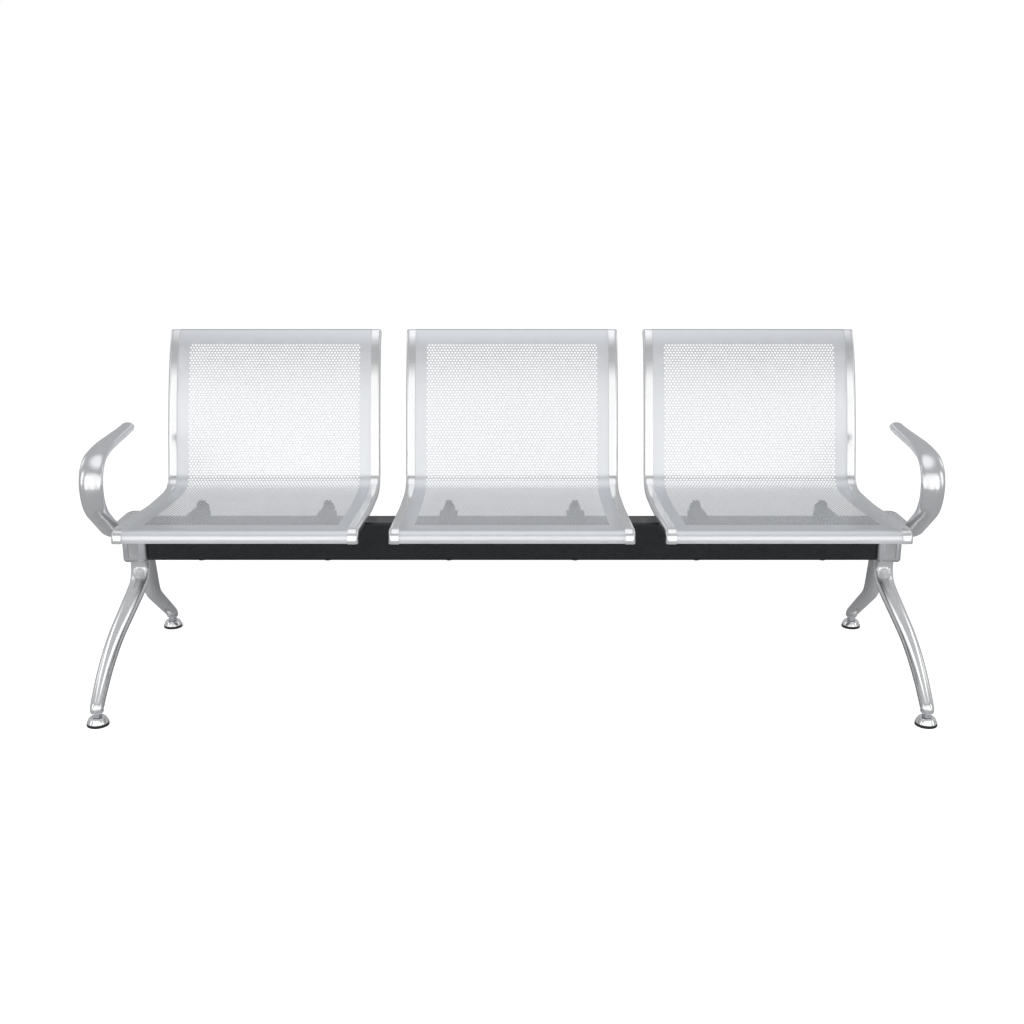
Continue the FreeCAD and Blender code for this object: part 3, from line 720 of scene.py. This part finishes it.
def block_screws():
    low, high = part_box("block_screws")
    y = (low.y + high.y) / 2
    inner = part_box("beam_end_plate_right")[0].x
    shank, head, height, key = BLOCK_SCREW
    model = cap_screw("block_screw", shank, head, height, high.x - height - inner, key)
    screws = [stand_at(model, "block_screw", (side * inner, y, z), (0, side * 90, 0))
              for side in (-1, 1) for z in (low.z + head, high.z - head)]
    bpy.data.objects.remove(model)
    joined("block_screws_made", "block_screws", "fastener_zinc", screws)


def arm_screws():
    low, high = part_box("arm_screws")
    shank, head, height, key = ARM_SCREW
    model = cap_screw("arm_screw", shank, head, height, high.z - low.z - height, key)
    screws = [stand_at(model, "arm_screw", (side * (high.x - head), y, low.z))
              for side in (-1, 1) for y in (low.y + head, high.y - head)]
    bpy.data.objects.remove(model)
    joined("arm_screws_made", "arm_screws", "fastener_zinc", screws)


def seat_bolts():
    """Hexagon bolts up through the beam, each with a washer between its head and the beam."""
    low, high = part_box("seat_bolts")
    washer_low, washer_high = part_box("seat_washers")
    y = middle("seat_bolts").y
    head = hexagon_head("seat_bolt", SEAT_BOLT_CORNER, (0, 0, low.z), washer_low.z - low.z)
    shank = turned("bolt_shank", (0, 0, 0), (
        (SEAT_BOLT_SHANK, washer_low.z - 0.0005), (SEAT_BOLT_SHANK, high.z - 0.001),
        (SEAT_BOLT_SHANK - 0.0008, high.z)))
    soften(head, 0.00025, 30.0, 2)
    washer = turned("seat_washer", (0, 0, 0), (
        (WASHER_HOLE, washer_low.z), (WASHER_RADIUS - 0.0003, washer_low.z),
        (WASHER_RADIUS, washer_low.z + 0.0003), (WASHER_RADIUS, washer_high.z),
        (WASHER_HOLE, washer_high.z)), hollow=True)
    bars = [middle("support_bar_" + hand + "_" + seat).x
            for seat in ("left", "centre", "right") for hand in ("left", "right")]
    bolts = [stand_at(model, model.name, (x, y, 0)) for x in bars for model in (head, shank)]
    washers = [stand_at(washer, "seat_washer", (x, y, 0)) for x in bars]
    for model in (head, shank, washer):
        bpy.data.objects.remove(model)
    joined("seat_bolts_made", "seat_bolts", "fastener_dark", bolts)
    joined("seat_washers_made", "seat_washers", "fastener_dark", washers)


# Cast blocks

def end_block(hand):
    """The casting with its edges broken and its two recessed faces in a darker finish."""
    node = "end_block_" + hand
    low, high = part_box(node)
    block = copy_at(frame["nodes"][node], node + "_made", (0, 0, 0))
    block.parent = None
    # The copy starts without the frame's notes on the CAD node
    for key in list(block.keys()):
        del block[key]
    merge(block, 2e-6)
    bpy.ops.object.mode_set(mode="EDIT")
    bpy.ops.mesh.select_all(action="SELECT")
    bpy.ops.mesh.dissolve_limited(angle_limit=math.radians(0.5))
    done()
    soften(block, CAST_EDGE, 40.0)
    paint(block, "block_cast")
    block.data.materials.append(FINISHES["block_recess"])
    for face in block.data.polygons:
        centre = face.center
        deep = min(centre.y - low.y, high.y - centre.y)
        if abs(face.normal.y) > 0.9 and RECESS_DEPTHS[0] < deep < RECESS_DEPTHS[1]:
            face.material_index = 1
    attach(block, "bench")
    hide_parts(node)


# Studio

def floor():
    bpy.ops.mesh.primitive_plane_add(size=30, location=(0, 0, 0))
    ground = named("studio_floor")
    material = bpy.data.materials.new("studio_floor")
    material.use_nodes = True
    nodes, links = material.node_tree.nodes, material.node_tree.links
    nodes.clear()
    output = nodes.new("ShaderNodeOutputMaterial")
    matt = nodes.new("ShaderNodeBsdfDiffuse")
    matt.inputs["Color"].default_value = FLOOR_COLOR
    glow = nodes.new("ShaderNodeEmission")
    add = nodes.new("ShaderNodeAddShader")
    links.new(seen_directly(nodes, links, FLOOR_GLOW), glow.inputs["Strength"])
    links.new(matt.outputs["BSDF"], add.inputs[0])
    links.new(glow.outputs["Emission"], add.inputs[1])
    links.new(add.outputs["Shader"], output.inputs["Surface"])
    ground.data.materials.append(material)


def seen_directly(nodes, links, strength, otherwise=0.0):
    """Strength for camera, glossy and transmission rays, and another for the rest."""
    path = nodes.new("ShaderNodeLightPath")
    first = nodes.new("ShaderNodeMath")
    first.operation = "ADD"
    links.new(path.outputs["Is Camera Ray"], first.inputs[0])
    links.new(path.outputs["Is Glossy Ray"], first.inputs[1])
    second = nodes.new("ShaderNodeMath")
    second.operation = "ADD"
    second.use_clamp = True
    links.new(first.outputs["Value"], second.inputs[0])
    links.new(path.outputs["Is Transmission Ray"], second.inputs[1])
    level = nodes.new("ShaderNodeMapRange")
    if isinstance(otherwise, float):
        level.inputs["To Min"].default_value = otherwise
    else:
        links.new(otherwise, level.inputs["To Min"])
    level.inputs["To Max"].default_value = strength
    links.new(second.outputs["Value"], level.inputs["Value"])
    return level.outputs["Result"]


def ambient(nodes, links):
    """Soft light from all round, stronger from the front than from behind and above."""
    place = nodes.new("ShaderNodeTexCoord")
    slope = nodes.new("ShaderNodeVectorMath")
    slope.operation = "DOT_PRODUCT"
    slope.inputs[1].default_value = SOFT_LIGHT_SLOPE
    links.new(place.outputs["Generated"], slope.inputs[0])
    level = nodes.new("ShaderNodeMath")
    level.inputs[1].default_value = SOFT_LIGHT
    links.new(slope.outputs["Value"], level.inputs[0])
    return level.outputs["Value"]


def sky():
    world = bpy.data.worlds.new("studio")
    bpy.context.scene.world = world
    world.use_nodes = True
    nodes, links = world.node_tree.nodes, world.node_tree.links
    light = nodes["Background"]
    light.inputs["Color"].default_value = (1, 1, 1, 1)
    links.new(seen_directly(nodes, links, 1.0, ambient(nodes, links)), light.inputs["Strength"])


def lamp(name, place, aim, size, power):
    data = bpy.data.lights.new(name, "AREA")
    data.shape = "RECTANGLE"
    data.size, data.size_y = size
    data.energy = power
    light = bpy.data.objects.new(name, data)
    light.location = place
    light.rotation_euler = (Vector(aim) - Vector(place)).to_track_quat("-Z", "Y").to_euler()
    light.visible_glossy = False
    bpy.context.scene.collection.objects.link(light)


def reflected_only(board, material):
    """Makes a studio surface that only polished surfaces show."""
    board.data.materials.append(material)
    board.visible_camera = False
    board.visible_diffuse = False
    board.visible_shadow = False
    board.visible_transmission = False
    board.visible_volume_scatter = False


def soft_glow(name, shade, softness):
    """Glow of a card's front that fades out towards its edges, over a share of its half width."""
    material = bpy.data.materials.new(name)
    material.use_nodes = True
    nodes, links = material.node_tree.nodes, material.node_tree.links
    nodes.clear()
    output = nodes.new("ShaderNodeOutputMaterial")
    glow = nodes.new("ShaderNodeEmission")
    glow.inputs["Color"].default_value = (*shade, 1)
    clear = nodes.new("ShaderNodeBsdfTransparent")
    mix = nodes.new("ShaderNodeMixShader")
    place = nodes.new("ShaderNodeTexCoord")
    split = nodes.new("ShaderNodeSeparateXYZ")
    links.new(place.outputs["Object"], split.inputs["Vector"])
    fades = []
    for axis in ("X", "Y"):
        size = nodes.new("ShaderNodeMath")
        size.operation = "ABSOLUTE"
        links.new(split.outputs[axis], size.inputs[0])
        fade = nodes.new("ShaderNodeMapRange")
        fade.interpolation_type = "SMOOTHSTEP"
        fade.inputs["From Min"].default_value = 0.5
        fade.inputs["From Max"].default_value = 0.5 - 0.5 * softness
        links.new(size.outputs["Value"], fade.inputs["Value"])
        fades.append(fade)
    both = nodes.new("ShaderNodeMath")
    both.operation = "MULTIPLY"
    links.new(fades[0].outputs["Result"], both.inputs[0])
    links.new(fades[1].outputs["Result"], both.inputs[1])
    side = nodes.new("ShaderNodeNewGeometry")
    front = nodes.new("ShaderNodeMath")
    front.operation = "SUBTRACT"
    front.use_clamp = True
    links.new(both.outputs["Value"], front.inputs[0])
    links.new(side.outputs["Backfacing"], front.inputs[1])
    links.new(front.outputs["Value"], mix.inputs["Fac"])
    links.new(clear.outputs["BSDF"], mix.inputs[1])
    links.new(glow.outputs["Emission"], mix.inputs[2])
    links.new(mix.outputs["Shader"], output.inputs["Surface"])
    return material


def card(name, place, aim, size, shade, softness):
    bpy.ops.mesh.primitive_plane_add(size=1, location=place)
    board = named(name)
    board.rotation_euler = (Vector(aim) - Vector(place)).to_track_quat("Z", "Y").to_euler()
    board.scale = (size[0], size[1], 1)
    reflected_only(board, soft_glow(name, shade, softness))


def tone_by_height(nodes, links, height, stops):
    """Grey that changes with the angle above the horizon; stops are (degrees, tone)."""
    ramp = nodes.new("ShaderNodeValToRGB")
    links.new(height, ramp.inputs["Fac"])
    elements = ramp.color_ramp.elements
    while len(elements) < len(stops):
        elements.new(0.5)
    for element, (angle, tone) in zip(elements, stops):
        element.position = (math.sin(math.radians(angle)) + 1) / 2
        element.color = (tone * 0.985, tone, tone * 1.03, 1)
    return ramp.outputs["Color"]


def studio_walls():
    """Grey tent round the bench with a bright ceiling, shown in polished surfaces only."""
    bpy.ops.mesh.primitive_uv_sphere_add(segments=64, ring_count=32, radius=TENT_RADIUS)
    tent = named("studio_walls")
    material = bpy.data.materials.new("studio_walls")
    material.use_nodes = True
    nodes, links = material.node_tree.nodes, material.node_tree.links
    nodes.clear()
    output = nodes.new("ShaderNodeOutputMaterial")
    glow = nodes.new("ShaderNodeEmission")
    place = nodes.new("ShaderNodeTexCoord")
    split = nodes.new("ShaderNodeSeparateXYZ")
    links.new(place.outputs["Object"], split.inputs["Vector"])
    height = nodes.new("ShaderNodeMapRange")
    depth = nodes.new("ShaderNodeMapRange")
    for node, axis, reach in ((height, "Z", TENT_RADIUS), (depth, "Y", TENT_RADIUS * 0.35)):
        node.inputs["From Min"].default_value = -reach
        node.inputs["From Max"].default_value = reach
        links.new(split.outputs[axis], node.inputs["Value"])
    mix = nodes.new("ShaderNodeMix")
    mix.data_type = "RGBA"
    front, back = [socket for socket in mix.inputs if socket.type == "RGBA"]
    links.new(depth.outputs["Result"], mix.inputs["Factor"])
    links.new(tone_by_height(nodes, links, height.outputs["Result"], FRONT_TONES), front)
    links.new(tone_by_height(nodes, links, height.outputs["Result"], BACK_TONES), back)
    mixed = [socket for socket in mix.outputs if socket.type == "RGBA"][0]
    links.new(mixed, glow.inputs["Color"])
    links.new(glow.outputs["Emission"], output.inputs["Surface"])
    reflected_only(tent, material)


def mirrored(place, side):
    return (place[0] * side, place[1], place[2])


def studio():
    """Light and floor of the bench, and the surfaces that its polished pieces mirror."""
    sky()
    floor()
    lamp("key_lamp", (-1.5, -3.0, 2.2), (0, 0, 0.4), (2.5, 2.0), 42)
    lamp("fill_lamp", (2.2, -2.6, 1.8), (0, 0, 0.4), (2.0, 2.0), 24)
    studio_walls()
    for settings in MIDDLE_CARDS:
        card(*settings)
    for side in (-1, 1):
        for name, place, aim, size, shade, softness in SIDE_CARDS:
            card(name, mirrored(place, side), mirrored(aim, side), size, shade, softness)


def camera():
    data = bpy.data.cameras.new("camera")
    data.lens = LENS
    data.sensor_width = SENSOR_WIDTH
    view = bpy.data.objects.new("camera", data)
    view.location = (0, middle("beam").y - CAMERA_DISTANCE, CAMERA_HEIGHT)
    view.rotation_euler = Euler((math.radians(90 - CAMERA_PITCH), 0, 0))
    bpy.context.scene.collection.objects.link(view)
    bpy.context.scene.camera = view
    bpy.context.scene.view_settings.view_transform = "Standard"


camera()
studio()
paint_cad_nodes()
seat_sheets()
feet()
block_screws()
arm_screws()
seat_bolts()
end_block("left")
end_block("right")
